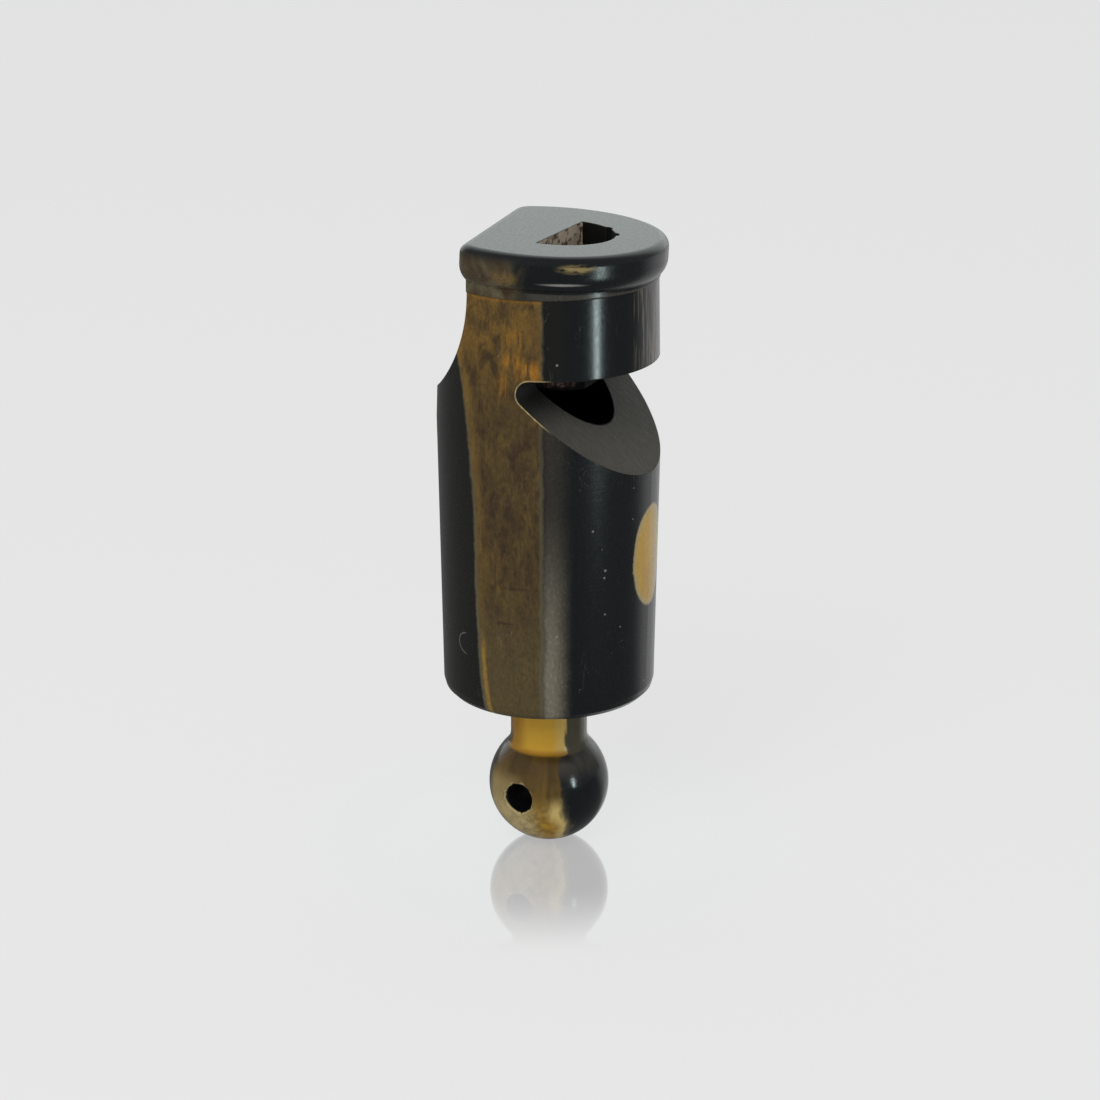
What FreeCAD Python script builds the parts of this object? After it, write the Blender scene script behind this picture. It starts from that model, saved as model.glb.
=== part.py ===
import FreeCAD, Part
import math
import os

# Bird call turned and carved from horn.
# Frame: +Z runs up the turning axis, from the foot of the ball end to the mouth.
# The window looks along +X, and the bite flat with its scoop is on the -X side.
# All sizes are in millimetres.

# Lengths along the axis, from the foot up
BALL_R = 5.75
NECK_LENGTH = 4.15         # from the top of the ball's sphere to the barrel
BARREL_LENGTH = 40.45
CAP_HEIGHT = 3.9           # on the axis

# Barrel, turned outside
BARREL_BASE_R = 9.98
BARREL_WIDEST_R = 10.42    # level with the labium
WINDOW_TOP_R = 10.23
MOUTHPIECE_R = 10.1        # at the cap's seat
FOOT_ROUND = 1.3
CHAMBER_R = 6.0

# Window: a flat cut above, and a ramp that falls outwards to the barrel's skin
MOUTHPIECE_LENGTH = 7.5    # from the cap's seat down to the flat cut
CUT_UP = 6.1               # from the flat cut down to the labium, the edge that splits the air
RAMP_ANGLE = 43.0
TROUGH_R = 1.2

# Bite flat and scoop on the back of the mouthpiece, filed by hand a little askew
FLAT_DEPTH = 5.1           # from the axis to the flat
FLAT_TWIST = 7.5           # degrees about the axis, off square to the window
FLAT_LENGTH = 0.2          # from the cap's seat down to where the scoop starts
SCOOP_R = 14.0

# Windway: a bore set towards the window, its back half filled by the plug
WINDWAY_BORE_R = 5.2
WINDWAY_BORE_X = 1.0
WINDWAY_EXIT = 1.2         # thickness of the air slot at its exit
PLUG_DROP = 2.1            # how far the plug hangs below the chamber's ceiling

# Mouthpiece cap: a beaded disc on a fine collar
BEAD_PROUD = 0.8           # how far the bead stands out from the round of the mouthpiece
BEAD_FLAT_PROUD = 0.83     # and from its flat
BEAD_CORNER_R = 2.0
BEAD_TOP_ROUND = 0.85
BEAD_UNDER_ROUND = 1.9
BEAD_LEAN = 2.7            # degrees that the bead and the top face lean off square
BEAD_LEAN_TURN = 45.0      # where the bead is lowest, from the window's direction
COLLAR_HEIGHT = 0.35
COLLAR_PROUD = 0.12
COLLAR_CORNER_R = 0.5
NICK_R = 0.65              # small nicks at one end of the mouth slot
NICK_ANGLES = (24.0, 52.0) # where they lie on the slot's round, from the window's direction

# End knob: neck and ball, with a spigot that closes the chamber
NECK_R = 3.65
NECK_COVE_R = 1.6          # the hollow where the neck runs into the ball
SPIGOT_LENGTH = 5.0
SPIGOT_CHAMFER = 0.4
CORD_HOLE_R = 1.4
CORD_HOLE_TURN = -8.0      # degrees about the axis, off square to the window
CORD_HOLE_EASE = 0.25      # worn chamfer at each end of the cord hole

# Small rounds are turned as straight chisel cuts, this many to each
ROUND_CUTS = 3

# Clearances
GLUE_GAP = 0.03            # radial, round the plug and the spigot
OVERCUT = 1.0              # how far a cutting tool runs past the stock

# Places worked out from the sizes above
BARREL_BASE_Z = 2 * BALL_R + NECK_LENGTH
CAP_SEAT_Z = BARREL_BASE_Z + BARREL_LENGTH
TOP_Z = CAP_SEAT_Z + CAP_HEIGHT
WINDOW_TOP_Z = CAP_SEAT_Z - MOUTHPIECE_LENGTH
LABIUM_Z = WINDOW_TOP_Z - CUT_UP
BEAD_R = MOUTHPIECE_R + BEAD_PROUD
TOOL_REACH = max(BEAD_R, BARREL_BASE_R) + OVERCUT * 2

Z_AXIS = FreeCAD.Vector(0, 0, 1)
ORIGIN = FreeCAD.Vector(0, 0, 0)


def xz(x, z):
    """A point of a profile drawn in the XZ plane."""
    return FreeCAD.Vector(x, 0, z)


def line(start, end):
    return Part.LineSegment(start, end).toShape()


def arc(centre, radius, from_deg, to_deg):
    """An arc in the XZ plane, measured from +X towards +Z."""
    points = []
    for angle in (from_deg, (from_deg + to_deg) / 2.0, to_deg):
        turn = math.radians(angle)
        points.append(centre + xz(radius * math.cos(turn), radius * math.sin(turn)))
    return Part.Arc(*points).toShape()


def revolve(edges):
    return Part.Face(Part.Wire(edges)).revolve(ORIGIN, Z_AXIS, 360)


def slab(edges):
    """Extrude an XZ profile both ways along Y, past the widest part of the stock."""
    face = Part.Face(Part.Wire(edges))
    face.translate(FreeCAD.Vector(0, -TOOL_REACH, 0))
    return face.extrude(FreeCAD.Vector(0, 2 * TOOL_REACH, 0))


def polyline(points):
    return [line(start, end) for start, end in zip(points, points[1:])]


def turned(shape, degrees):
    shape.rotate(ORIGIN, Z_AXIS, degrees)
    return shape


def cylinder(radius, bottom, top, x=0.0):
    return Part.makeCylinder(radius, top - bottom, FreeCAD.Vector(x, 0, bottom))


def chisel_round(centre, radius, from_deg, to_deg):
    """Points along an arc in the XZ plane, measured from +X towards +Z, where the straight cuts meet."""
    points = []
    for cut in range(ROUND_CUTS + 1):
        turn = math.radians(from_deg + (to_deg - from_deg) * cut / ROUND_CUTS)
        points.append(centre + xz(radius * math.cos(turn), radius * math.sin(turn)))
    return points


def barrel_stock():
    """The turned outside: a rounded foot, a long taper, and a wall that draws in to the mouthpiece."""
    foot_centre = xz(BARREL_BASE_R - FOOT_ROUND, BARREL_BASE_Z + FOOT_ROUND)
    outline = [xz(0, CAP_SEAT_Z), xz(0, BARREL_BASE_Z)]
    outline += chisel_round(foot_centre, FOOT_ROUND, -90, 0)
    outline += [
        xz(BARREL_WIDEST_R, LABIUM_Z),
        xz(WINDOW_TOP_R, WINDOW_TOP_Z),
        xz(MOUTHPIECE_R, CAP_SEAT_Z),
        xz(0, CAP_SEAT_Z),
    ]
    return revolve(polyline(outline))


def bite_scoop():
    """The tool that files the flat and sweeps out the concave scoop below it."""
    far_x = -FLAT_DEPTH - SCOOP_R
    top = CAP_SEAT_Z + OVERCUT
    scoop_top = CAP_SEAT_Z - FLAT_LENGTH
    edges = [
        line(xz(-FLAT_DEPTH, top), xz(-FLAT_DEPTH, scoop_top)),
        arc(xz(far_x, scoop_top), SCOOP_R, 0, -90),
        line(xz(far_x, scoop_top - SCOOP_R), xz(far_x, top)),
        line(xz(far_x, top), xz(-FLAT_DEPTH, top)),
    ]
    return turned(slab(edges), FLAT_TWIST)


def window_notch():
    """The V-shaped window: a level cut above, a rounded trough and the ramp."""
    ramp = math.radians(RAMP_ANGLE)
    apex_x = CHAMBER_R - CUT_UP / math.tan(ramp)
    reach = TROUGH_R / math.tan(ramp / 2.0)
    trough = xz(apex_x + reach, WINDOW_TOP_Z - TROUGH_R)
    low_z = WINDOW_TOP_Z - (TOOL_REACH - apex_x) * math.tan(ramp)
    ramp_start = xz(apex_x + reach * math.cos(ramp), WINDOW_TOP_Z - reach * math.sin(ramp))
    edges = [
        line(xz(TOOL_REACH, WINDOW_TOP_Z), xz(apex_x + reach, WINDOW_TOP_Z)),
        arc(trough, TROUGH_R, 90, 270 - RAMP_ANGLE),
        line(ramp_start, xz(TOOL_REACH, low_z)),
        line(xz(TOOL_REACH, low_z), xz(TOOL_REACH, WINDOW_TOP_Z)),
    ]
    return slab(edges)


def barrel():
    body = barrel_stock().cut(bite_scoop())
    body = body.cut(cylinder(CHAMBER_R, BARREL_BASE_Z - OVERCUT, WINDOW_TOP_Z))
    body = body.cut(cylinder(WINDWAY_BORE_R, WINDOW_TOP_Z - OVERCUT, CAP_SEAT_Z + OVERCUT, WINDWAY_BORE_X))
    return body.cut(window_notch())


def d_outline(radius, flat_depth, corner_r, bottom, height):
    """A round disc with one flat side; its two upright corners are rounded."""
    disc = cylinder(radius, bottom, bottom + height)
    keep = FreeCAD.Vector(-flat_depth, -TOOL_REACH, bottom)
    blank = disc.common(Part.makeBox(2 * TOOL_REACH, 2 * TOOL_REACH, height, keep))
    corners = [edge for edge in blank.Edges if is_upright_corner(edge, radius, height)]
    return turned(blank.makeFillet(corner_r, corners), FLAT_TWIST)


def is_upright_corner(edge, radius, height):
    """True for the two upright edges where the round and the flat side meet."""
    middle = edge.CenterOfMass
    upright = abs(edge.BoundBox.ZLength - height) < 1e-3
    return upright and abs(edge.Length - height) < 1e-3 and abs(middle.y) > radius / 2.0


def rim_edges(solid, z):
    """The edges that lie level at height z."""
    return [edge for edge in solid.Edges if abs(edge.BoundBox.ZMin - z) + abs(edge.BoundBox.ZMax - z) < 1e-3]


def mouth_slot():
    """The half-moon mouth of the windway, with small nicks at one end."""
    bottom = CAP_SEAT_Z - OVERCUT
    top = TOP_Z + OVERCUT
    bore = cylinder(WINDWAY_BORE_R, bottom, top, WINDWAY_BORE_X)
    front = Part.makeBox(
        TOOL_REACH, 2 * TOOL_REACH, top - bottom, FreeCAD.Vector(WINDWAY_BORE_X, -TOOL_REACH, bottom)
    )
    slot = bore.common(front)
    reach = WINDWAY_BORE_R - NICK_R / 2.0
    for angle in NICK_ANGLES:
        turn = math.radians(angle)
        place = FreeCAD.Vector(WINDWAY_BORE_X + reach * math.cos(turn), reach * math.sin(turn), bottom)
        slot = slot.fuse(Part.makeCylinder(NICK_R, top - bottom, place))
    return slot


def leaned(shape):
    """Lean a shape off square about the middle of the cap, and trim what then hangs below the seat."""
    turn = math.radians(BEAD_LEAN_TURN)
    middle = FreeCAD.Vector(0, 0, CAP_SEAT_Z + CAP_HEIGHT / 2.0)
    shape.rotate(middle, FreeCAD.Vector(-math.sin(turn), math.cos(turn), 0), BEAD_LEAN)
    return shape.cut(cylinder(TOOL_REACH, CAP_SEAT_Z - TOOL_REACH, CAP_SEAT_Z))


def mouthpiece_cap():
    bead_z = CAP_SEAT_Z + COLLAR_HEIGHT / 2.0
    bead = d_outline(BEAD_R, FLAT_DEPTH + BEAD_FLAT_PROUD, BEAD_CORNER_R, bead_z, TOP_Z - bead_z)
    bead = bead.makeFillet(BEAD_UNDER_ROUND, rim_edges(bead, bead_z))
    bead = bead.makeFillet(BEAD_TOP_ROUND, rim_edges(bead, TOP_Z))
    collar = d_outline(
        MOUTHPIECE_R + COLLAR_PROUD,
        FLAT_DEPTH + COLLAR_PROUD,
        COLLAR_CORNER_R,
        CAP_SEAT_Z,
        COLLAR_HEIGHT + BEAD_UNDER_ROUND / 2.0,
    )
    return leaned(bead).fuse(collar).cut(mouth_slot())


def windway_plug():
    """The plug: a round rod whose front is pared to a slope, so that the windway narrows downwards."""
    bottom = WINDOW_TOP_Z - PLUG_DROP
    rod = cylinder(WINDWAY_BORE_R - GLUE_GAP, bottom, CAP_SEAT_Z, WINDWAY_BORE_X)
    exit_x = WINDWAY_BORE_X + WINDWAY_BORE_R - WINDWAY_EXIT
    paring = [
        xz(WINDWAY_BORE_X, CAP_SEAT_Z + OVERCUT),
        xz(WINDWAY_BORE_X, CAP_SEAT_Z),
        xz(exit_x, WINDOW_TOP_Z),
        xz(exit_x, bottom - OVERCUT),
        xz(TOOL_REACH, bottom - OVERCUT),
        xz(TOOL_REACH, CAP_SEAT_Z + OVERCUT),
        xz(WINDWAY_BORE_X, CAP_SEAT_Z + OVERCUT),
    ]
    return rod.cut(slab(polyline(paring)))


def cord_hole():
    """The cross hole through the ball, eased at both mouths."""
    direction = FreeCAD.Vector(0, 1, 0)
    start = FreeCAD.Vector(0, -BALL_R - OVERCUT, BALL_R)
    drill = Part.makeCylinder(CORD_HOLE_R, 2 * (BALL_R + OVERCUT), start, direction)
    mouth_y = math.sqrt(BALL_R ** 2 - (CORD_HOLE_R + CORD_HOLE_EASE) ** 2)
    for side in (-1, 1):
        base = FreeCAD.Vector(0, side * (mouth_y - CORD_HOLE_EASE), BALL_R)
        outer_r = CORD_HOLE_R + CORD_HOLE_EASE + OVERCUT
        cone = Part.makeCone(CORD_HOLE_R, outer_r, outer_r - CORD_HOLE_R, base, direction * side)
        drill = drill.fuse(cone)
    return turned(drill, CORD_HOLE_TURN)


def end_knob():
    spigot_r = CHAMBER_R - GLUE_GAP
    top = BARREL_BASE_Z + SPIGOT_LENGTH
    cove_x = NECK_R + NECK_COVE_R
    cove_z = BALL_R + math.sqrt((BALL_R + NECK_COVE_R) ** 2 - cove_x ** 2)
    meeting_deg = math.degrees(math.atan2(cove_z - BALL_R, cove_x))
    outline = [
        xz(0, 0),
        xz(0, top),
        xz(spigot_r - SPIGOT_CHAMFER, top),
        xz(spigot_r, top - SPIGOT_CHAMFER),
        xz(spigot_r, BARREL_BASE_Z),
        xz(NECK_R, BARREL_BASE_Z),
    ]
    outline += chisel_round(xz(cove_x, cove_z), NECK_COVE_R, 180, 180 + meeting_deg)
    ball = arc(xz(0, BALL_R), BALL_R, meeting_deg, -90)
    return revolve(polyline(outline) + [ball]).cut(cord_hole())


PARTS = {
    "barrel": barrel,
    "mouthpiece_cap": mouthpiece_cap,
    "windway_plug": windway_plug,
    "end_knob": end_knob,
}

os.makedirs("parts", exist_ok=True)
for name, build in PARTS.items():
    solid = build()
    solid.exportStep("parts/" + name + ".step")
    print(name, "valid", solid.isValid(), "solids", len(solid.Solids), "volume", round(solid.Volume, 1))
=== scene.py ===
import math

import bmesh
import bpy
from bpy.props import FloatProperty, FloatVectorProperty, PointerProperty
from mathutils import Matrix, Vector


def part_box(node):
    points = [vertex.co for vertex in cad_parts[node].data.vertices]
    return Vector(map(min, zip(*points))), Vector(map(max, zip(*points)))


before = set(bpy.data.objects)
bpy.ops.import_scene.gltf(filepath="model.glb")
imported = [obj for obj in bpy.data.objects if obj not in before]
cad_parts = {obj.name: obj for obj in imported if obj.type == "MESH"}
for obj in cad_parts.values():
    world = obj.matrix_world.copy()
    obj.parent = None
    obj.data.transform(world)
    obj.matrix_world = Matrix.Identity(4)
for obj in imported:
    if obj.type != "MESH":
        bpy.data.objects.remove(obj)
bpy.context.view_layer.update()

bl_info = {
    "name": "Horn Bird Call",
    "version": (1, 0, 0),
    "blender": (4, 5, 0),
    "location": "View3D > Sidebar > Bird Call",
    "description": "Finishes a turned horn bird call: horn, worn edges, turning marks, cork plug and studio",
    "category": "Object",
}

MM = 0.001

# Places on the object. Angles are in degrees about the axis, from the window's direction,
# counted up towards +Y; heights are in millimetres above the foot of the ball.
WALL_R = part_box("barrel")[1].y / MM
CAP_MIDDLE = 58.05                          # the bead and top face lean about this point
CAP_LEAN = 2.7
CAP_LEAN_TURN = 45.0
CAP_TOP = 60.0
SLOT_X = 1.0                                # centre of the windway's round wall
SLOT_R = 5.2
WINDOW_TOP = 48.6
LABIUM = 42.5
RAMP_ANGLE = 43.0
TROUGH_R = 1.2
CHAMBER_R = 6.0
BALL_R = 5.75
CORD_HOLE_R = 1.4
CORD_HOLE_TURN = -98.0

# The left edge of the pale streak, as height and angle, and its right edge
STREAK_LEFT = ((16, -102.3), (24, -106.6), (37, -108.2), (45, -113.2), (50, -120.5), (56, -136))
STREAK_RIGHT = -69.3

# Where other colours start and where they are full, as angles
GREY_BAND_LEFT = (-71.0, -66.0)
GREY_BAND_RIGHT = (-52.5, -65.5)
SOOT_RIGHT = (-90.0, -100.0)
SOOT_LEFT = (-175.0, -150.0)
FAR_SIDE_LEFT = (-22.0, -8.0)
FAR_SIDE_RIGHT = (40.0, 18.0)
RIM_END = (-63.0, -72.0)
CAP_STREAK_RIGHT = (-76.0, -88.0)
CAP_STREAK_LEFT = (-174.0, -150.0)
KNOB_STREAK_LEFT = (-150.0, -128.0)
KNOB_EDGE = -54.0
NECK_FOOT = (9.7, 10.0)                     # the same, as heights

# Ovals: angle, height, half width in degrees and half height
HAND_SPOT = (1.5, 30.2, 18.0, 4.9)
CAP_PATCH = (-52.5, 59.0, 8.0, 0.36)
CAP_RING = (-88.5, 57.8, 6.5, 0.6)
# The next oval is a painted highlight line along the lower round of the bead
CAP_HIGHLIGHT_LINE = (-59.5, 57.55, 8.0, 0.1)
CLEAR_SPOTS = (
    ((-75.5, 49.5, 6.0, 0.9), 1.0),
    ((-85.0, 50.4, 4.0, 0.7), 1.0),
    ((-83.5, 52.4, 4.5, 0.9), 0.6),
    ((-90.0, 48.0, 3.0, 1.2), 0.5),
)                                           # an oval, then its strength
DARK_LINES = ((-83.0, 28.8, 6.5, 0.13), (-89.5, 25.3, 6.0, 0.13))
HOOK = (-114.5, 22.3, 7.5, 1.05)            # a scratch: the left half of this oval's outline
FLECKS = (
    (-43.1, 34.3, 0.10), (-37.9, 32.4, 0.05), (-35.7, 30.3, 0.12), (-36.2, 29.6, 0.10),
    (-35.5, 26.0, 0.09), (-25.5, 24.4, 0.08), (-17.6, 34.6, 0.08), (-17.5, 37.6, 0.06),
    (-2.7, 17.8, 0.08), (-61.8, 24.3, 0.08), (-62.0, 50.2, 0.10),
)                                           # angle, height and radius

# The shader's constants, and linear colours for what the light hardly reaches
HORN_IOR = 1.54
HORN_SPECULAR = 0.4
CORK_SPECULAR = 0.2
CUT_ROUGHNESS = 0.7
CHAMBER_BLACK = (0.0008, 0.0008, 0.001)
SLOT_BLACK = (0.003, 0.003, 0.003)
HOLE_BLACK = (0.001, 0.001, 0.001)
PLUG_BLACK = (0.0015, 0.0015, 0.0018)

# The camera, fitted to the outline of the object in the photograph
VIEW_TURN = 24.0
VIEW_RISE = 19.42
VIEW_DISTANCE = 0.3076
VIEW_HEIGHT = 0.0292
IMAGE_SIDE = 1100
AXIS_PIXEL = 549
FOCAL_PIXELS = 3269

# The floor: how much of its look is even, and the faint mirror under the ball
FLOOR_EVEN = 0.85
FLOOR_GLOW = 1.03
MIRROR_RIM = (0.027, 0.012)                 # metres from the axis: where it starts, and where it is full
MIRROR_SHARE = 0.4
MIRROR_GREY = (0.7, 0.7, 0.7)
MIRROR_ROUGHNESS = 0.05
SHEET_TINT = (0.93, 1, 0.97)
STRIP_TINT = (0.82, 1.0, 0.98)


def shade(red, green, blue):
    """A screen colour of 0 to 255 as the linear colour that a shader takes."""
    linear = []
    for part in (red, green, blue):
        part = part / 255.0
        linear.append(part / 12.92 if part <= 0.04045 else ((part + 0.055) / 1.055) ** 2.4)
    return tuple(linear)


def colour(name, description, *rgb):
    """A colour property whose default is a screen colour of 0 to 255."""
    return FloatVectorProperty(
        name=name, description=description, default=shade(*rgb), size=3, min=0, max=1, subtype="COLOR"
    )


class HornColours(bpy.types.PropertyGroup):
    black: colour("Black", "The polished black of the horn", 13, 18, 21)
    soot: colour("Soot", "The duller black beside the pale streak", 22, 23, 19)
    brown: colour("Brown", "The brown heart of the pale streak", 79, 62, 28)
    umber: colour("Umber", "The dark clouds in the streak", 56, 41, 24)
    honey: colour("Honey", "The yellower edge of the streak", 108, 84, 34)
    orange: colour("Orange", "The clearest patches beside the window", 146, 98, 16)
    olive: colour("Olive", "The streak near the foot, and on the bead", 84, 72, 42)
    border: colour("Border", "The pale line between streak and black", 90, 84, 64)
    # Haze is partly painted reflection: the grey band right of the streak, and the pale streaks up the far
    # side
    haze_and_reflection: colour("Haze", "The grey bloom right of the streak", 122, 115, 100)
    amber: colour("Amber", "The amber low in the streak and at the foot of the ball", 176, 134, 36)
    # On the neck, gold is painted brighter than the horn is: painted glow of light through it, lifting the
    # barrel's shadow
    gold: colour("Gold", "The clear horn of the neck, and of the patch on the barrel", 212, 166, 54)
    straw: colour("Straw", "The palest horn, beside the black of the knob", 214, 190, 122)
    # Dust also paints the highlight line under the bead
    dust_and_highlight: colour("Dust", "Flecks and scratches", 176, 176, 168)
    # Cream on the window's edge is partly worn horn and partly a painted highlight
    cream: colour("Cream", "The bleached horn at worn rims", 184, 166, 116)
    cut: colour("Cut", "The dry, filed face of the ramp", 75, 72, 65)
    torn: colour("Torn", "The bleached flat wall of the mouth slot", 232, 214, 188)
    torn_pits: colour("Torn pits", "The dark tears in that wall", 104, 82, 76)
    cork: colour("Cork", "The windway plug", 118, 94, 86)
    cork_crumbs: colour("Cork crumbs", "The darker crumbs of the plug", 46, 32, 29)
    cork_pits: colour("Cork pits", "The pits in the plug", 34, 25, 24)


class WearSizes(bpy.types.PropertyGroup):
    edge: FloatProperty(
        name="Edge wear", description="Width of the worn edges", default=0.00018, min=0, max=0.002,
        unit="LENGTH",
    )
    marks: FloatProperty(
        name="Turning marks", description="Depth of the marks that the turning tool left",
        default=0.000012, min=0, max=0.0002, unit="LENGTH",
    )


class StudioLight(bpy.types.PropertyGroup):
    floor: colour("Floor", "The pale floor", 230, 230, 230)
    sky: FloatProperty(name="Sky", description="Strength of the even light", default=0.3, min=0, max=3)
    sheet: FloatProperty(
        name="Sheet", description="Strength of the bright sheet behind the object", default=1.17, min=0, max=5
    )
    key: FloatProperty(
        name="Key", description="Power of the large soft lamp", default=2.2, min=0, unit="POWER"
    )
    strip: FloatProperty(
        name="Strip", description="Power of the narrow lamp for the highlight", default=0.017, min=0,
        unit="POWER",
    )


class BirdCallSettings(bpy.types.PropertyGroup):
    horn: PointerProperty(name="Horn", description="Colours of the horn", type=HornColours)
    wear: PointerProperty(name="Wear", description="Sizes of the wear", type=WearSizes)
    studio: PointerProperty(name="Studio", description="Light and floor", type=StudioLight)


class Graph:
    """Adds and links the nodes of one shader tree. An input may be a number, a colour or a socket."""

    def __init__(self, tree):
        self.tree = tree

    def feed(self, socket, value):
        """Links a socket to it, or sets a number or colour."""
        if isinstance(value, bpy.types.NodeSocket):
            self.tree.links.new(value, socket)
        elif socket.type == "RGBA" and len(value) == 3:
            socket.default_value = (*value, 1)
        else:
            socket.default_value = value

    def add(self, kind, inputs=None, **settings):
        """A new node with its settings made and its inputs fed."""
        node = self.tree.nodes.new("ShaderNode" + kind)
        for name, value in settings.items():
            setattr(node, name, value)
        for name, value in (inputs or {}).items():
            self.feed(node.inputs[name], value)
        return node

    def math(self, operation, *values):
        node = self.add("Math", operation=operation)
        for socket, value in zip(node.inputs, values):
            self.feed(socket, value)
        return node.outputs[0]

    def total(self, *values):
        result = values[0]
        for value in values[1:]:
            result = self.math("ADD", result, value)
        return result

    def product(self, *values):
        result = values[0]
        for value in values[1:]:
            result = self.math("MULTIPLY", result, value)
        return result

    def minus(self, value, less):
        return self.math("SUBTRACT", value, less)

    def linear(self, value, slope, start):
        """start plus slope times value."""
        return self.math("MULTIPLY_ADD", value, slope, start)

    def sum_product(self, pairs):
        """The sum of value times factor over pairs of them."""
        return self.total(*[self.math("MULTIPLY", value, factor) for value, factor in pairs])

    def rise(self, value, low, high):
        """0 below low, 1 above high and a smooth step between. With low above high it falls."""
        node = self.add("MapRange", interpolation_type="SMOOTHSTEP")
        self.feed(node.inputs["Value"], value)
        self.feed(node.inputs["From Min"], low)
        self.feed(node.inputs["From Max"], high)
        return node.outputs[0]

    def mix(self, mask, under, over):
        """The colour under where the mask is 0, and over where it is 1."""
        node = self.add("Mix", data_type="RGBA")
        self.feed(node.inputs[0], mask)
        self.feed(node.inputs[6], under)
        self.feed(node.inputs[7], over)
        return node.outputs[2]

    def blend(self, mask, under, over):
        """As mix, for numbers."""
        node = self.add("Mix", data_type="FLOAT")
        self.feed(node.inputs[0], mask)
        self.feed(node.inputs[2], under)
        self.feed(node.inputs[3], over)
        return node.outputs[0]

    def scale(self, vector, factor):
        return self.add("VectorMath", {0: vector, "Scale": factor}, operation="SCALE").outputs[0]

    def split(self, vector):
        return self.add("SeparateXYZ", {0: vector}).outputs

    def noise(self, point, scale, detail=3.0, roughness=0.55, stretch=(1, 1, 1), warp=0.0):
        scaled = self.add("VectorMath", {0: point, 1: stretch}, operation="MULTIPLY").outputs[0]
        inputs = {"Vector": scaled, "Scale": scale, "Detail": detail, "Roughness": roughness}
        return self.add("TexNoise", {**inputs, "Distortion": warp}).outputs[0]

    def curve(self, value, points):
        """A smooth curve through points of (input, output); both may have any range."""
        in_low, in_high = min(x for x, y in points), max(x for x, y in points)
        out_low, out_high = min(y for x, y in points), max(y for x, y in points)
        ends = {"Value": value, "From Min": in_low, "From Max": in_high}
        node = self.add("FloatCurve", {"Value": self.add("MapRange", ends).outputs[0]})
        line = node.mapping.curves[0].points
        for _ in points[2:]:
            line.new(0.5, 0.5)
        for spot, (x, y) in zip(line, sorted(points)):
            spot.location = ((x - in_low) / (in_high - in_low), (y - out_low) / (out_high - out_low))
        node.mapping.update()
        ends = {"Value": node.outputs[0], "To Min": out_low, "To Max": out_high}
        return self.add("MapRange", ends).outputs[0]


def new_group(name, inputs, outputs):
    """An empty node group. inputs are (name, kind, default), outputs are (name, kind)."""
    tree = bpy.data.node_groups.new(name, "ShaderNodeTree")
    for label, kind, default in inputs:
        socket = tree.interface.new_socket(label, in_out="INPUT", socket_type="NodeSocket" + kind)
        if default is not None:
            socket.default_value = default
    for label, kind in outputs:
        tree.interface.new_socket(label, in_out="OUTPUT", socket_type="NodeSocket" + kind)
    given = tree.nodes.new("NodeGroupInput").outputs
    result = tree.nodes.new("NodeGroupOutput").inputs
    return tree, Graph(tree), given, result


def place_group():
    """Where a point of the surface is: its millimetre position, and its angle, height and radius."""
    tree, graph, _, result = new_group(
        "horn_place", [], [("Point", "Vector"), ("Angle", "Float"), ("Height", "Float"), ("Radius", "Float")]
    )
    metres = graph.add("TexCoord").outputs["Object"]
    point = graph.scale(metres, 1 / MM)
    split = graph.split(point)
    flat = graph.add("CombineXYZ", {"X": split["X"], "Y": split["Y"]}).outputs[0]
    graph.feed(result["Point"], point)
    graph.feed(result["Angle"], graph.math("DEGREES", graph.math("ARCTAN2", split["Y"], split["X"])))
    graph.feed(result["Height"], split["Z"])
    graph.feed(result["Radius"], graph.add("VectorMath", {0: flat}, operation="LENGTH").outputs["Value"])
    return tree


def fibre_group():
    """The grain of horn: long fibres up the axis, cloudy blotches, and a fine speckle."""
    tree, graph, given, result = new_group(
        "horn_fibres",
        [("Point", "Vector", None)],
        [("Fibre", "Float"), ("Blotch", "Float"), ("Speck", "Float")],
    )
    point = given["Point"]
    fibre = graph.noise(point, 1.9, 4, 0.65, stretch=(1, 1, 0.16), warp=0.4)
    blotch = graph.noise(point, 0.42, 5, 0.62, stretch=(1, 1, 0.5), warp=0.9)
    speck = graph.noise(point, 4.0, 3, 0.6, stretch=(1, 1, 0.6))
    for label, value in (("Fibre", fibre), ("Blotch", blotch), ("Speck", speck)):
        graph.feed(result[label], graph.rise(value, 0.32, 0.68))
    return tree


def turning_group():
    """Heights in millimetres of the fine rings that the turning tool left, deeper in some bands."""
    tree, graph, given, result = new_group(
        "turning_marks", [("Point", "Vector", None), ("Depth", "Float", 0.01)], [("Height", "Float")]
    )
    rings = graph.noise(given["Point"], 3.2, 3, 0.65, stretch=(0.03, 0.03, 1))
    patches = graph.noise(given["Point"], 0.3, 2, 0.5)
    graph.feed(result["Height"], graph.product(rings, patches, given["Depth"]))
    return tree


def edge_group():
    """Where sharp edges are worn: a mask from how far the rounded normal leans from the true one."""
    tree, graph, given, result = new_group(
        "worn_edges", [("Point", "Vector", None)], [("Edge", "Float"), ("Normal", "Vector")]
    )
    width = bpy.context.scene.bird_call.wear.edge
    rounded = graph.add("Bevel", {"Radius": width}, samples=8).outputs[0]
    true = graph.add("NewGeometry").outputs["Normal"]
    lean = graph.add("VectorMath", {0: rounded, 1: true}, operation="DOT_PRODUCT").outputs["Value"]
    broken = graph.noise(given["Point"], 1.3, 3, 0.6)
    mask = graph.rise(lean, 0.995, 0.9)
    graph.feed(result["Edge"], graph.product(mask, graph.rise(broken, 0.35, 0.6)))
    graph.feed(result["Normal"], rounded)
    return tree


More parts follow.
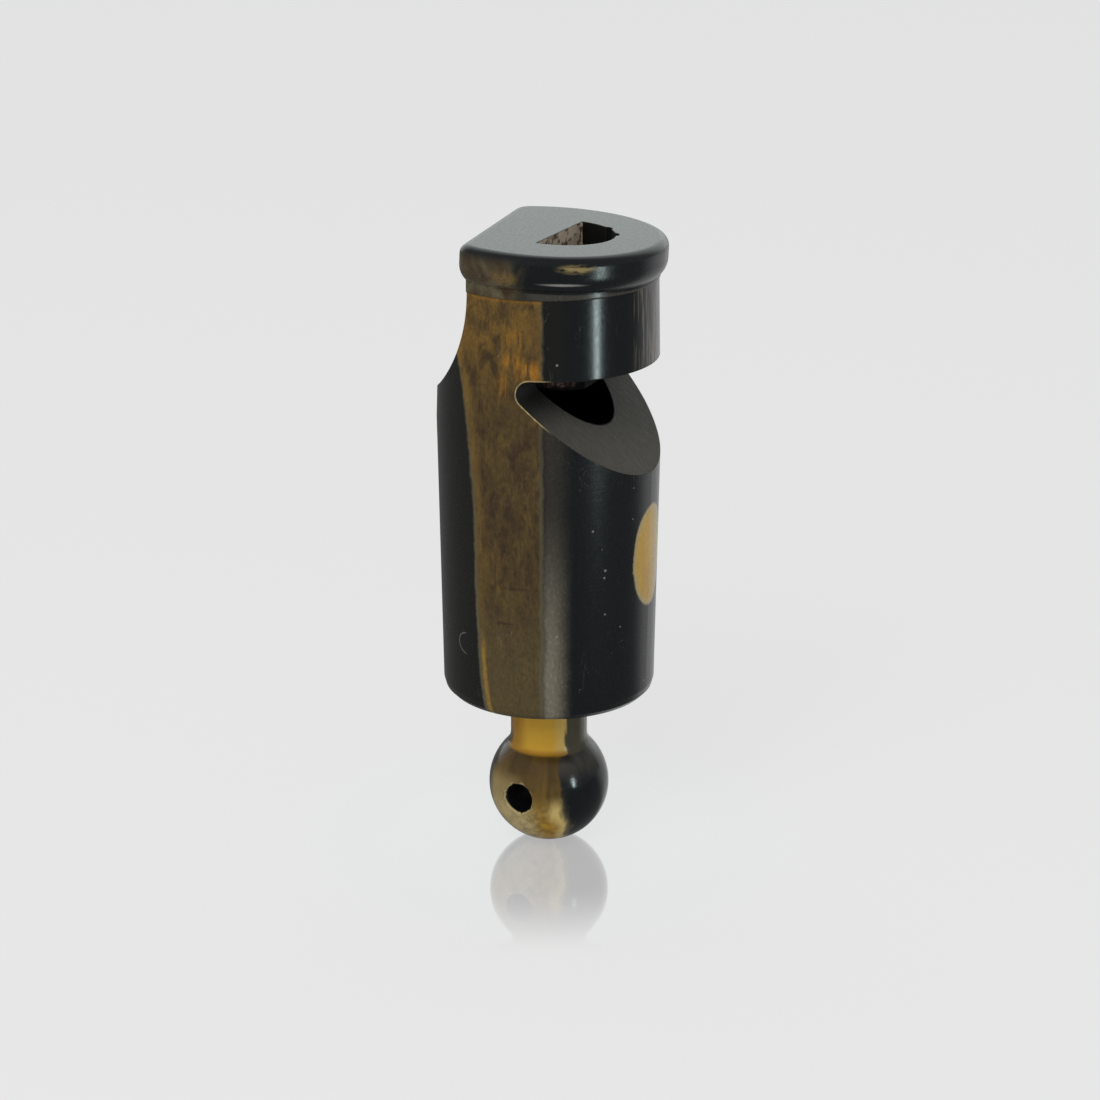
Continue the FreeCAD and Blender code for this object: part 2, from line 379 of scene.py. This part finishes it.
def scuff_group():
    """Dust and hairline scratches, as masks."""
    tree, graph, given, result = new_group(
        "scuffs", [("Point", "Vector", None)], [("Dust", "Float"), ("Scratch", "Float")]
    )
    point = given["Point"]
    cells = graph.add("TexVoronoi", {"Vector": point, "Scale": 0.9}).outputs["Distance"]
    rare = graph.rise(graph.noise(point, 0.35, 1), 0.55, 0.7)
    hair = graph.noise(point, 0.8, 2, 0.5, stretch=(1, 1, 0.35), warp=1.5)
    line = graph.math("ABSOLUTE", graph.minus(hair, 0.5))
    graph.feed(result["Dust"], graph.product(graph.rise(cells, 0.07, 0.04), rare))
    graph.feed(result["Scratch"], graph.product(graph.rise(line, 0.004, 0.001), rare))
    return tree


def shared(name, maker):
    """The node group of that name, built the first time it is asked for."""
    return bpy.data.node_groups.get(name) or maker()


class Finish:
    """A new material with the shared effects placed in it and a Principled shader at its end."""

    def __init__(self, name):
        self.material = bpy.data.materials.new(name)
        self.material.use_nodes = True
        tree = self.material.node_tree
        tree.nodes.clear()
        self.graph = Graph(tree)
        place = self.effect("horn_place", place_group)
        self.point = place["Point"]
        self.angle = place["Angle"]
        self.height = place["Height"]
        self.radius = place["Radius"]
        fibres = self.effect("horn_fibres", fibre_group)
        self.fibre = fibres["Fibre"]
        self.blotch = fibres["Blotch"]
        self.speck = fibres["Speck"]
        self.edges = self.effect("worn_edges", edge_group)
        self.scuffs = self.effect("scuffs", scuff_group)
        depth = bpy.context.scene.bird_call.wear.marks / MM
        self.rings = self.effect("turning_marks", turning_group, Depth=depth)["Height"]
        self.shader = self.graph.add("BsdfPrincipled")
        out = self.graph.add("OutputMaterial")
        tree.links.new(self.shader.outputs[0], out.inputs["Surface"])

    def effect(self, name, maker, **inputs):
        """Places a shared node group and returns its outputs."""
        node = self.graph.add("Group", node_tree=shared(name, maker))
        if "Point" in node.inputs:
            self.graph.feed(node.inputs["Point"], self.point)
        for label, value in inputs.items():
            self.graph.feed(node.inputs[label], value)
        return node.outputs

    def wavering_angle(self, degrees):
        """The angle about the axis, moved to and fro by clouds of noise."""
        cloud = self.graph.minus(self.blotch, 0.5)
        return self.graph.linear(cloud, degrees, self.angle)

    def spot(self, angle, oval, soft):
        """A mask of an oval, given by its angle, height, half width in degrees and half height."""
        graph = self.graph
        across = graph.math("DIVIDE", graph.minus(angle, oval[0]), oval[2])
        along = graph.math("DIVIDE", graph.minus(self.height, oval[1]), oval[3])
        reach = graph.math("SQRT", graph.sum_product([(across, across), (along, along)]))
        return graph.rise(reach, 1 + soft, 1 - soft)

    def close(self, base, roughness, height, specular=HORN_SPECULAR):
        """Feeds the shader. height is in millimetres."""
        graph = self.graph
        relief = {"Height": height, "Distance": MM, "Normal": self.edges["Normal"]}
        graph.feed(self.shader.inputs["Base Color"], base)
        graph.feed(self.shader.inputs["Roughness"], roughness)
        graph.feed(self.shader.inputs["Normal"], graph.add("Bump", relief).outputs[0])
        self.shader.inputs["Specular IOR Level"].default_value = specular
        self.shader.inputs["IOR"].default_value = HORN_IOR
        return self.material


def put_on(node, material):
    """Gives a CAD node its material, in every slot of its mesh."""
    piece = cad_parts[node]
    if not piece.data.materials:
        piece.data.materials.append(material)
    for index in range(len(piece.data.materials)):
        piece.data.materials[index] = material


def window_distance(finish):
    """How far a point lies outside the window's cut, in millimetres: a V with a rounded bottom."""
    graph = finish.graph
    split = graph.split(finish.point)
    ramp = math.radians(RAMP_ANGLE)
    sine, cosine = math.sin(ramp), math.cos(ramp)
    reach = TROUGH_R / math.tan(ramp / 2)
    trough_x = CHAMBER_R - (WINDOW_TOP - LABIUM) * cosine / sine + reach
    across = graph.minus(split["X"], trough_x)
    up = graph.minus(split["Z"], WINDOW_TOP - TROUGH_R)
    above = graph.minus(up, TROUGH_R)
    below = graph.minus(graph.sum_product([(across, -sine), (up, -cosine)]), TROUGH_R)
    straight = graph.math("MAXIMUM", above, below)
    length = graph.math("SQRT", graph.sum_product([(across, across), (up, up)]))
    along = graph.math("MAXIMUM", across, graph.sum_product([(across, cosine), (up, -sine)]))
    return graph.blend(graph.math("LESS_THAN", along, 0.0), straight, graph.minus(length, TROUGH_R))


def streak_colour(finish, horn, turn, from_left):
    """The fibrous brown of the streak: clouds, a yellower left edge, clear patches above, olive below."""
    graph, height = finish.graph, finish.height
    clouds = graph.noise(finish.point, 0.7, 5, 0.68, stretch=(1, 1, 0.55), warp=0.7)
    clouds = graph.rise(clouds, 0.36, 0.66)
    heart = graph.mix(clouds, horn.umber, horn.brown)
    heart = graph.mix(graph.product(finish.fibre, finish.blotch, 0.55), heart, horn.honey)
    left_edge = graph.rise(from_left, 8.0, 1.5)
    threads = graph.linear(finish.fibre, 0.5, 0.4)
    heart = graph.mix(graph.product(left_edge, threads), heart, horn.honey)

    golden = graph.product(graph.rise(height, 46.0, 54.0), graph.linear(clouds, 0.6, 0.12))
    heart = graph.mix(golden, heart, horn.honey)
    upper = graph.product(graph.rise(height, 44.0, 53.0), graph.rise(clouds, 0.1, 0.8))
    heart = graph.mix(graph.product(upper, graph.linear(left_edge, 0.35, 0.12)), heart, horn.orange)
    heart = graph.mix(graph.product(graph.rise(height, 31.0, 19.0), 0.75), heart, horn.olive)
    for oval, strength in CLEAR_SPOTS:
        amount = graph.product(finish.spot(turn, oval, 0.7), graph.rise(finish.fibre, 0.1, 0.7), strength)
        heart = graph.mix(amount, heart, horn.orange)

    low_line = graph.product(graph.rise(from_left, 0.8, 2.2), graph.rise(from_left, 5.0, 3.2))
    low_line = graph.product(low_line, graph.rise(height, 25.0, 21.0), 0.45)
    heart = graph.mix(low_line, heart, horn.amber)
    for oval in DARK_LINES:
        heart = graph.mix(graph.product(finish.spot(turn, oval, 0.6), 0.7), heart, horn.umber)
    under_cap = graph.rise(height, 55.6, 55.95)
    heart = graph.mix(graph.product(under_cap, 0.35), heart, horn.orange)
    return graph.scale(heart, graph.linear(finish.speck, 0.3, 0.85))


def wall_colour(finish, horn, turn):
    """The black of the wall, duller left of the streak, with a grey band right of it that is partly the
    horn's own grey and partly a painted reflection, brighter towards the foot.
    """
    graph, height = finish.graph, finish.height
    beside = graph.product(graph.rise(turn, *GREY_BAND_LEFT), graph.rise(turn, *GREY_BAND_RIGHT))
    dull = graph.product(graph.rise(turn, *SOOT_RIGHT), graph.rise(turn, *SOOT_LEFT))
    wall = graph.mix(dull, horn.black, horn.soot)
    wall = graph.mix(beside, wall, horn.soot)
    # Partly painted reflection: the grey band is made brighter towards the foot, as the pale floor's
    # reflection
    bloom_and_reflection = graph.linear(graph.rise(height, 38.0, 19.0), 0.85, 0.12)
    bloom_and_reflection = graph.product(bloom_and_reflection, beside, graph.rise(height, 47.0, 44.0))
    bloom_and_reflection = graph.product(bloom_and_reflection, graph.linear(finish.speck, 0.25, 0.8))
    return graph.mix(bloom_and_reflection, wall, horn.haze_and_reflection)


def far_side_reflections(finish, turn):
    """A mask of the pale streaks up the far side of the mouthpiece, which are painted reflection."""
    graph = finish.graph
    lines = graph.rise(graph.noise(finish.point, 2.6, 3, 0.6, stretch=(1, 1, 0.07)), 0.46, 0.62)
    far_side = graph.product(graph.rise(turn, *FAR_SIDE_LEFT), graph.rise(turn, *FAR_SIDE_RIGHT))
    on_mouthpiece = graph.rise(finish.height, 47.5, 49.0)
    return graph.product(lines, far_side, on_mouthpiece, 0.75)


def lay_hand_spot(finish, horn, base, turn):
    """Adds the amber patch on the window side, with its bleached outline."""
    graph = finish.graph
    middle, level, half_width, half_height = HAND_SPOT
    patch = finish.spot(turn, HAND_SPOT, 0.04)
    core = finish.spot(turn, (middle + 0.5, level, half_width * 0.88, half_height * 0.93), 0.08)
    warm = graph.product(graph.rise(turn, 13.0, -1.0), graph.linear(finish.fibre, 0.2, 0.8))
    clear = graph.mix(graph.product(finish.blotch, 0.3), horn.gold, horn.orange)
    base = graph.mix(patch, base, horn.cream)
    return graph.mix(core, base, graph.mix(warm, horn.cream, clear))


def lay_dust(finish, horn, base):
    """Adds flecks at their own places, scattered dusty specks and hairlines, and the hooked scratch."""
    graph = finish.graph
    for fleck_angle, fleck_height, radius in FLECKS:
        across = math.degrees(radius / WALL_R)
        fleck = finish.spot(finish.angle, (fleck_angle, fleck_height, across, radius), 0.5)
        base = graph.mix(graph.product(fleck, 0.5), base, horn.dust_and_highlight)
    marks = graph.math("MAXIMUM", finish.scuffs["Dust"], finish.scuffs["Scratch"])
    base = graph.mix(graph.product(marks, 0.16), base, horn.dust_and_highlight)
    oval = finish.spot(finish.angle, HOOK, 0.1)
    outline = graph.product(oval, graph.minus(1.0, oval), 4.0)
    hook = graph.product(outline, graph.rise(finish.angle, HOOK[0], HOOK[0] - 3))
    return graph.mix(graph.product(hook, 0.22), base, horn.dust_and_highlight)


def lay_window(finish, horn, base):
    """Adds the window's bleached edge, partly worn horn and partly a painted highlight, its dry filed ramp
    and the chamber, painted dark as shade.

    Gives back the colour, a mask of the filed faces and the rasp marks on them.
    """
    graph, height = finish.graph, finish.height
    distance = window_distance(finish)
    outer = graph.rise(finish.radius, 9.7, 10.0)
    near_side = graph.rise(finish.angle, *RIM_END)
    # The cream line round the window is partly worn horn and partly a painted highlight where the edge
    # catches light
    worn = graph.linear(finish.speck, 0.5, 0.45)
    rim_wear_and_highlight = graph.product(graph.rise(distance, 0.2, 0.08), outer, near_side, worn)
    base = graph.mix(rim_wear_and_highlight, base, horn.cream)
    filed = graph.rise(distance, 0.05, 0.02)
    rasp = graph.noise(finish.point, 3.0, 3, 0.7, stretch=(0.3, 1.2, 0.3), warp=0.2)
    cut = graph.mix(graph.rise(height, 43.6, 46.4), horn.cut, horn.soot)
    cut = graph.scale(cut, graph.linear(rasp, 0.9, 0.55))
    base = graph.mix(filed, base, cut)
    # Painted shade: the chamber's bore is painted near black
    bore = graph.rise(finish.radius, CHAMBER_R + 0.12, CHAMBER_R + 0.04)
    return graph.mix(bore, base, CHAMBER_BLACK), filed, rasp


def barrel_material(horn):
    """Black horn with the pale streak up its front, the amber patch and the filed window."""
    finish = Finish("horn_barrel")
    graph, height = finish.graph, finish.height

    # How far inside the streak a point lies, in degrees
    wobble = graph.noise(finish.point, 0.45, 5, 0.62)
    turn = graph.linear(graph.minus(wobble, 0.5), 4.0, finish.angle)
    from_left = graph.minus(turn, graph.curve(height, STREAK_LEFT))
    inside = graph.math("MINIMUM", from_left, graph.minus(STREAK_RIGHT, turn))
    streak = graph.rise(inside, -0.6, 1.0)
    border = graph.product(graph.rise(inside, -1.3, 0.0), graph.rise(inside, 2.4, 0.8))
    paler_below = graph.linear(graph.rise(height, 52.0, 22.0), 0.4, 0.3)

    heart = streak_colour(finish, horn, turn, from_left)
    base = graph.mix(streak, wall_colour(finish, horn, turn), heart)
    base = graph.mix(graph.product(border, paler_below), base, horn.border)
    # Painted reflection: pale streaks up the far side of the mouthpiece
    base = graph.mix(far_side_reflections(finish, turn), base, horn.haze_and_reflection)
    base = lay_hand_spot(finish, horn, base, turn)
    base = lay_dust(finish, horn, base)
    base, filed, rasp = lay_window(finish, horn, base)

    polish = graph.rise(height, 47.0, 49.0)
    roughness = graph.blend(polish, 0.22, 0.16)
    roughness = graph.blend(streak, roughness, graph.blend(polish, 0.45, 0.34))
    roughness = graph.blend(filed, roughness, CUT_ROUGHNESS)
    roughness = graph.linear(finish.speck, 0.06, roughness)
    fibres = graph.product(finish.fibre, streak, 0.004)
    relief = graph.total(finish.rings, graph.product(rasp, filed, 0.1), fibres)
    return finish.close(base, roughness, relief)


def cap_height(finish):
    """Height measured square to the leaning top face, in millimetres."""
    graph = finish.graph
    split = graph.split(finish.point)
    axis = direction(CAP_LEAN_TURN, 90.0 - CAP_LEAN)
    above = graph.minus(split["Z"], CAP_MIDDLE)
    along = graph.sum_product([(split["X"], axis.x), (split["Y"], axis.y), (above, axis.z)])
    return graph.math("ADD", along, CAP_MIDDLE)


def lay_slot(finish, horn, base):
    """Adds the torn walls of the mouth slot, with painted shade on its round wall. Gives back the colour, a
    mask of the walls and the tears.
    """
    graph = finish.graph
    split = graph.split(finish.point)
    sideways = graph.minus(split["X"], SLOT_X)
    reach = graph.math("SQRT", graph.sum_product([(sideways, sideways), (split["Y"], split["Y"])]))
    below_top = graph.rise(finish.height, CAP_TOP - 0.02, CAP_TOP - 0.07)
    slot = graph.product(graph.rise(reach, SLOT_R + 0.75, SLOT_R + 0.6), below_top)
    torn = graph.noise(finish.point, 0.9, 4, 0.7)
    pale = graph.mix(graph.rise(torn, 0.47, 0.6), horn.torn, horn.torn_pits)
    # Painted shade: the windway's round wall is painted near black, the flat wall keeps its torn colours
    flat_wall = graph.rise(split["X"], SLOT_X + 0.08, SLOT_X + 0.03)
    return graph.mix(slot, base, graph.mix(flat_wall, SLOT_BLACK, pale)), slot, torn


def cap_material(horn):
    """Polished black horn, olive over the streak, with small clear patches, a painted highlight line under
    the bead, and the torn mouth slot, whose round wall is painted shade.
    """
    finish = Finish("horn_cap")
    graph = finish.graph
    finish.height = cap_height(finish)

    angle = finish.wavering_angle(8.0)
    streak = graph.product(graph.rise(angle, *CAP_STREAK_RIGHT), graph.rise(angle, *CAP_STREAK_LEFT))
    streak = graph.product(streak, graph.rise(finish.height, 59.9, 58.6))
    olive = graph.mix(finish.blotch, horn.umber, horn.border)
    base = graph.mix(streak, horn.black, olive)
    grain = graph.rise(graph.noise(finish.point, 1.6, 3, 0.6, stretch=(0.5, 0.5, 2.5)), 0.35, 0.6)
    patch = graph.product(finish.spot(finish.angle, CAP_PATCH, 0.6), grain)
    base = graph.mix(graph.product(patch, 0.38), base, horn.straw)
    ring = graph.product(finish.spot(finish.angle, CAP_RING, 0.5), finish.blotch)
    base = graph.mix(graph.product(ring, 0.28), base, horn.amber)
    # Painted highlight: a pale line along the lower round of the bead
    highlight_line = finish.spot(finish.angle, CAP_HIGHLIGHT_LINE, 0.9)
    base = graph.mix(graph.product(highlight_line, 0.6), base, horn.dust_and_highlight)
    collar = graph.product(graph.rise(finish.height, 56.6, 56.45), graph.rise(angle, -84.0, -72.0))
    base = graph.mix(graph.product(collar, 0.22), base, horn.haze_and_reflection)
    base, slot, torn = lay_slot(finish, horn, base)
    base = graph.mix(graph.product(finish.edges["Edge"], 0.25), base, horn.border)

    roughness = graph.linear(finish.speck, 0.08, 0.2)
    roughness = graph.blend(slot, roughness, 0.8)
    relief = graph.total(finish.rings, graph.product(torn, slot, 0.2))
    return finish.close(base, roughness, relief)


def ball_colour(finish, horn, angle, past_edge):
    """The ball's brown, amber and bleached at its foot and pale beside the black."""
    graph, height = finish.graph, finish.height
    body = graph.mix(finish.blotch, horn.brown, horn.honey)
    body = graph.mix(graph.product(graph.rise(height, 6.0, 9.0), 0.4), body, horn.umber)
    mottled = graph.rise(graph.noise(finish.point, 1.1, 4, 0.65), 0.36, 0.6)
    low = graph.product(graph.rise(height, 6.4, 3.2), graph.linear(mottled, 0.55, 0.4))
    body = graph.mix(low, body, graph.mix(graph.rise(angle, -90.0, -65.0), horn.cream, horn.amber))
    left = graph.product(graph.rise(angle, -90.0, -106.0), graph.rise(height, 8.5, 6.5))
    body = graph.mix(graph.product(left, 0.4), body, horn.cream)
    side = graph.product(graph.rise(past_edge, -20.0, -6.0), graph.rise(height, 6.6, 4.6))
    return graph.mix(graph.product(side, 0.8), body, horn.straw)


def neck_colour(finish, horn, angle, past_edge):
    """The neck's clear golden horn, painted brighter as a glow of light through it, singed at its left and
    foot.
    """
    graph = finish.graph
    # Painted glow: the neck's gold is brighter than the horn, for light shining through it
    clear = graph.mix(graph.product(graph.rise(past_edge, -22.0, -3.0), 0.6), horn.gold, horn.straw)
    at_foot = graph.rise(finish.height, 10.5, 9.9)
    singed = graph.math("MAXIMUM", graph.rise(angle, -98.0, -125.0), at_foot)
    return graph.mix(graph.product(singed, 0.7), clear, horn.orange)


def lay_cord_hole(finish, horn, base):
    """Adds the cord hole's bleached, ragged mouth, and paints its inside black as shade. Gives back the
    colour, its ring and the rags.
    """
    graph = finish.graph
    along = direction(CORD_HOLE_TURN, 0)
    centred = graph.add("VectorMath", {0: finish.point, 1: (0, 0, BALL_R)}, operation="SUBTRACT").outputs[0]
    crossed = graph.add("VectorMath", {0: centred, 1: along}, operation="CROSS_PRODUCT").outputs[0]
    bore = graph.add("VectorMath", {0: crossed}, operation="LENGTH").outputs["Value"]
    ragged = graph.noise(finish.point, 1.5, 3, 0.6)
    reach = graph.linear(graph.minus(ragged, 0.5), 0.9, bore)
    ring = graph.rise(reach, CORD_HOLE_R + 0.3, CORD_HOLE_R + 0.14)
    base = graph.mix(graph.product(ring, 0.7), base, horn.cream)
    # Painted shade: the inside of the hole, and a ragged margin round it, are painted black
    torn_inner = graph.rise(reach, CORD_HOLE_R + 0.08, CORD_HOLE_R)
    round_inner = graph.rise(bore, CORD_HOLE_R + 0.05, CORD_HOLE_R + 0.02)
    inner_shade = graph.math("MAXIMUM", torn_inner, round_inner)
    return graph.mix(inner_shade, base, HOLE_BLACK), ring, ragged


def knob_material(horn):
    """The streak's foot on the ball, the clear gold neck painted bright as glow, black beside them, and the
    cord hole with its painted shade.
    """
    finish = Finish("horn_knob")
    graph, height = finish.graph, finish.height
    angle = finish.wavering_angle(7.0)
    on_neck = graph.rise(height, *NECK_FOOT)
    further = graph.math("MAXIMUM", graph.rise(height, 5.0, 2.0), graph.rise(height, 9.6, 10.0))
    past_edge = graph.minus(angle, graph.linear(further, 13.0, KNOB_EDGE))
    streak = graph.product(graph.rise(past_edge, 3.0, -2.0), graph.rise(angle, *KNOB_STREAK_LEFT))

    body = ball_colour(finish, horn, angle, past_edge)
    body = graph.mix(on_neck, body, neck_colour(finish, horn, angle, past_edge))
    dusty = graph.product(graph.rise(height, 7.2, 9.4), graph.linear(finish.blotch, 0.2, 0.1))
    base = graph.mix(streak, graph.mix(dusty, horn.black, horn.haze_and_reflection), body)
    border = graph.product(graph.rise(past_edge, -6.0, -1.0), graph.rise(past_edge, 9.0, 1.0))
    base = graph.mix(graph.product(border, graph.rise(height, 8.0, 3.0), 0.85), base, horn.border)
    neck_side = graph.product(on_neck, graph.rise(past_edge, -2.0, 3.0))
    base = graph.mix(graph.product(neck_side, 0.6), base, horn.border)
    base, ring, ragged = lay_cord_hole(finish, horn, base)
    base = graph.mix(graph.product(finish.edges["Edge"], 0.3), base, horn.border)

    roughness = graph.linear(finish.speck, 0.08, 0.12)
    roughness = graph.blend(ring, roughness, CUT_ROUGHNESS)
    relief = graph.total(finish.rings, graph.product(ring, ragged, 0.12))
    return finish.close(base, roughness, relief)


def cork_material(horn):
    """Crumbly cork, with painted shadow on its far side and under the window's top."""
    finish = Finish("plug_cork")
    graph = finish.graph
    crumbs = graph.noise(finish.point, 1.4, 5, 0.7)
    base = graph.mix(graph.rise(crumbs, 0.38, 0.52), horn.cork, horn.cork_crumbs)
    pits = graph.rise(graph.noise(finish.point, 3.0, 2, 0.5), 0.42, 0.3)
    base = graph.mix(pits, base, horn.cork_pits)
    # Painted shadow: the far side and the part under the window's top are painted near black
    far = graph.rise(graph.split(finish.point)["Y"], -4.4, -3.7)
    under = graph.rise(finish.height, WINDOW_TOP - 1.55, WINDOW_TOP - 1.95)
    base = graph.mix(graph.math("MAXIMUM", far, under), base, PLUG_BLACK)
    return finish.close(base, 0.85, graph.product(crumbs, 0.3), specular=CORK_SPECULAR)


def direction(turn, rise):
    """A unit vector from the object, turn degrees about the axis and rise degrees above the floor."""
    flat = math.cos(math.radians(rise))
    along = math.radians(turn)
    return Vector((flat * math.cos(along), flat * math.sin(along), math.sin(math.radians(rise))))


def lamp(name, turn, rise, distance, size, power, tint=(1, 1, 1), aim=0.03, diffuse=True, gloss=True):
    """A rectangular lamp that faces the axis at the height aim. Lengths are in metres."""
    data = bpy.data.lights.new(name, "AREA")
    data.shape = "RECTANGLE"
    data.size, data.size_y = size
    data.energy = power
    data.color = tint
    made = bpy.data.objects.new(name, data)
    target = Vector((0, 0, aim))
    made.location = target + direction(turn, rise) * distance
    made.rotation_euler = (target - made.location).to_track_quat("-Z", "Y").to_euler()
    made.visible_camera = False
    made.visible_diffuse = diffuse
    made.visible_glossy = gloss
    bpy.context.scene.collection.objects.link(made)


def floor_material(studio):
    """Diffuse for the light it gives, even and faintly glossy for the camera, dim in the object's gloss."""
    material = bpy.data.materials.new("pale_floor")
    material.use_nodes = True
    tree = material.node_tree
    tree.nodes.clear()
    graph = Graph(tree)
    pale = tuple(studio.floor)
    point = graph.add("TexCoord").outputs["Object"]
    unit = graph.add("VectorMath", {0: point}, operation="NORMALIZE").outputs[0]
    bright_side = {0: unit, 1: direction(72, 0)}
    facing = graph.add("VectorMath", bright_side, operation="DOT_PRODUCT").outputs["Value"]
    dim = graph.linear(graph.rise(facing, 0.75, 0.97), 0.63, 0.23)
    away = graph.add("VectorMath", {0: point}, operation="LENGTH").outputs["Value"]
    mirror = graph.product(graph.rise(away, *MIRROR_RIM), MIRROR_SHARE)
    path = graph.add("LightPath").outputs
    plain = graph.add("BsdfDiffuse", {"Color": pale}).outputs[0]
    even = graph.add("Emission", {"Color": pale, "Strength": FLOOR_GLOW}).outputs[0]
    sheen = graph.add("BsdfGlossy", {"Color": MIRROR_GREY, "Roughness": MIRROR_ROUGHNESS}).outputs[0]
    mirrored = graph.add("Emission", {"Color": pale, "Strength": dim}).outputs[0]

    def stack(share, under, over):
        return graph.add("MixShader", {0: share, 1: under, 2: over}).outputs[0]

    shown = stack(mirror, stack(FLOOR_EVEN, plain, even), sheen)
    seen = graph.math("MAXIMUM", path["Is Camera Ray"], path["Is Transmission Ray"])
    surface = stack(seen, stack(path["Is Glossy Ray"], plain, mirrored), shown)
    out = graph.add("OutputMaterial")
    tree.links.new(surface, out.inputs["Surface"])
    return material


class Piece:
    """What the operators that finish one CAD node share."""

    bl_options = {"REGISTER", "UNDO"}
    node = ""
    slot = ""
    maker = None

    def execute(self, context):
        put_on(self.node, type(self).maker(context.scene.bird_call.horn))
        return {"FINISHED"}


class BIRDCALL_OT_barrel(Piece, bpy.types.Operator):
    """Gives the barrel its black horn, pale streak, filed window and wear"""

    bl_idname = "bird_call.barrel"
    bl_label = "Barrel"
    node = "barrel"
    slot = "horn_barrel"
    maker = barrel_material


class BIRDCALL_OT_cap(Piece, bpy.types.Operator):
    """Gives the beaded mouthpiece cap its polished horn"""

    bl_idname = "bird_call.cap"
    bl_label = "Mouthpiece cap"
    node = "mouthpiece_cap"
    slot = "horn_cap"
    maker = cap_material


class BIRDCALL_OT_knob(Piece, bpy.types.Operator):
    """Gives the end knob its amber neck and worn cord hole"""

    bl_idname = "bird_call.knob"
    bl_label = "End knob"
    node = "end_knob"
    slot = "horn_knob"
    maker = knob_material


class BIRDCALL_OT_plug(Piece, bpy.types.Operator):
    """Gives the windway plug its crumbly cork"""

    bl_idname = "bird_call.plug"
    bl_label = "Windway plug"
    node = "windway_plug"
    slot = "plug_cork"
    maker = cork_material


class BIRDCALL_OT_stage(bpy.types.Operator):
    """Lays the pale floor, hangs the lamps and sets the camera of the photograph"""

    bl_idname = "bird_call.stage"
    bl_label = "Studio"
    bl_options = {"REGISTER", "UNDO"}

    def execute(self, context):
        scene = context.scene
        studio = scene.bird_call.studio
        self.lay_floor(scene, studio)
        self.set_sky(scene, studio)
        lamp("key", -88, 42, 0.6, (0.35, 0.35), studio.key, gloss=False)
        lamp("strip", -18, 0, 0.118, (0.010, 0.032), studio.strip, STRIP_TINT, aim=0.028, diffuse=False)
        self.set_camera(scene)
        scene.view_settings.view_transform = "Standard"
        return {"FINISHED"}

    def lay_floor(self, scene, studio):
        """A round pale floor, level with the foot of the ball."""
        mesh = bpy.data.meshes.new("floor")
        disc = bmesh.new()
        bmesh.ops.create_circle(disc, cap_ends=True, segments=96, radius=4.0)
        disc.to_mesh(mesh)
        disc.free()
        floor = bpy.data.objects.new("floor", mesh)
        mesh.materials.append(floor_material(studio))
        scene.collection.objects.link(floor)

    def set_sky(self, scene, studio):
        """An even sky with a bright sheet low behind the object, and the floor's colour to the camera."""
        world = bpy.data.worlds.new("studio")
        world.use_nodes = True
        graph = Graph(world.node_tree)
        way = graph.add("TexCoord").outputs["Generated"]
        sheet = {0: way, 1: direction(VIEW_TURN + 90, VIEW_RISE)}
        facing = graph.add("VectorMath", sheet, operation="DOT_PRODUCT").outputs["Value"]
        on_sheet = graph.rise(facing, 0.45, 0.85)
        strength = graph.blend(on_sheet, studio.sky, studio.sheet)
        seen = graph.add("LightPath").outputs["Is Camera Ray"]
        strength = graph.blend(seen, strength, studio.floor[0])
        background = world.node_tree.nodes["Background"]
        graph.feed(background.inputs["Color"], graph.mix(on_sheet, (1, 1, 1), SHEET_TINT))
        graph.feed(background.inputs["Strength"], strength)
        scene.world = world

    def set_camera(self, scene):
        """The camera fitted to the outline in the photograph."""
        data = bpy.data.cameras.new("camera")
        data.sensor_width = 36.0
        data.lens = FOCAL_PIXELS / IMAGE_SIDE * data.sensor_width
        data.shift_x = (IMAGE_SIDE / 2 - AXIS_PIXEL) / IMAGE_SIDE
        camera = bpy.data.objects.new("camera", data)
        back = direction(VIEW_TURN - 90, VIEW_RISE)
        camera.location = Vector((0, 0, VIEW_HEIGHT)) + back * VIEW_DISTANCE
        camera.rotation_euler = (-back).to_track_quat("-Z", "Y").to_euler()
        scene.collection.objects.link(camera)
        scene.camera = camera


OPERATORS = (
    BIRDCALL_OT_barrel,
    BIRDCALL_OT_cap,
    BIRDCALL_OT_knob,
    BIRDCALL_OT_plug,
    BIRDCALL_OT_stage,
)


class BIRDCALL_PT_panel(bpy.types.Panel):
    bl_label = "Horn Bird Call"
    bl_idname = "BIRDCALL_PT_panel"
    bl_space_type = "VIEW_3D"
    bl_region_type = "UI"
    bl_category = "Bird Call"

    def draw(self, context):
        settings = context.scene.bird_call
        for group in (settings.horn, settings.wear, settings.studio):
            box = self.layout.box()
            for name in group.__annotations__:
                box.prop(group, name)
        for operator in OPERATORS:
            self.layout.operator(operator.bl_idname)


CLASSES = (HornColours, WearSizes, StudioLight, BirdCallSettings, *OPERATORS, BIRDCALL_PT_panel)


def register():
    for part in CLASSES:
        bpy.utils.register_class(part)
    bpy.types.Scene.bird_call = PointerProperty(type=BirdCallSettings)


def unregister():
    del bpy.types.Scene.bird_call
    for part in reversed(CLASSES):
        bpy.utils.unregister_class(part)


def main():
    register()
    bpy.ops.bird_call.barrel()
    bpy.ops.bird_call.cap()
    bpy.ops.bird_call.knob()
    bpy.ops.bird_call.plug()
    bpy.ops.bird_call.stage()


if __name__ == "__main__":
    main()
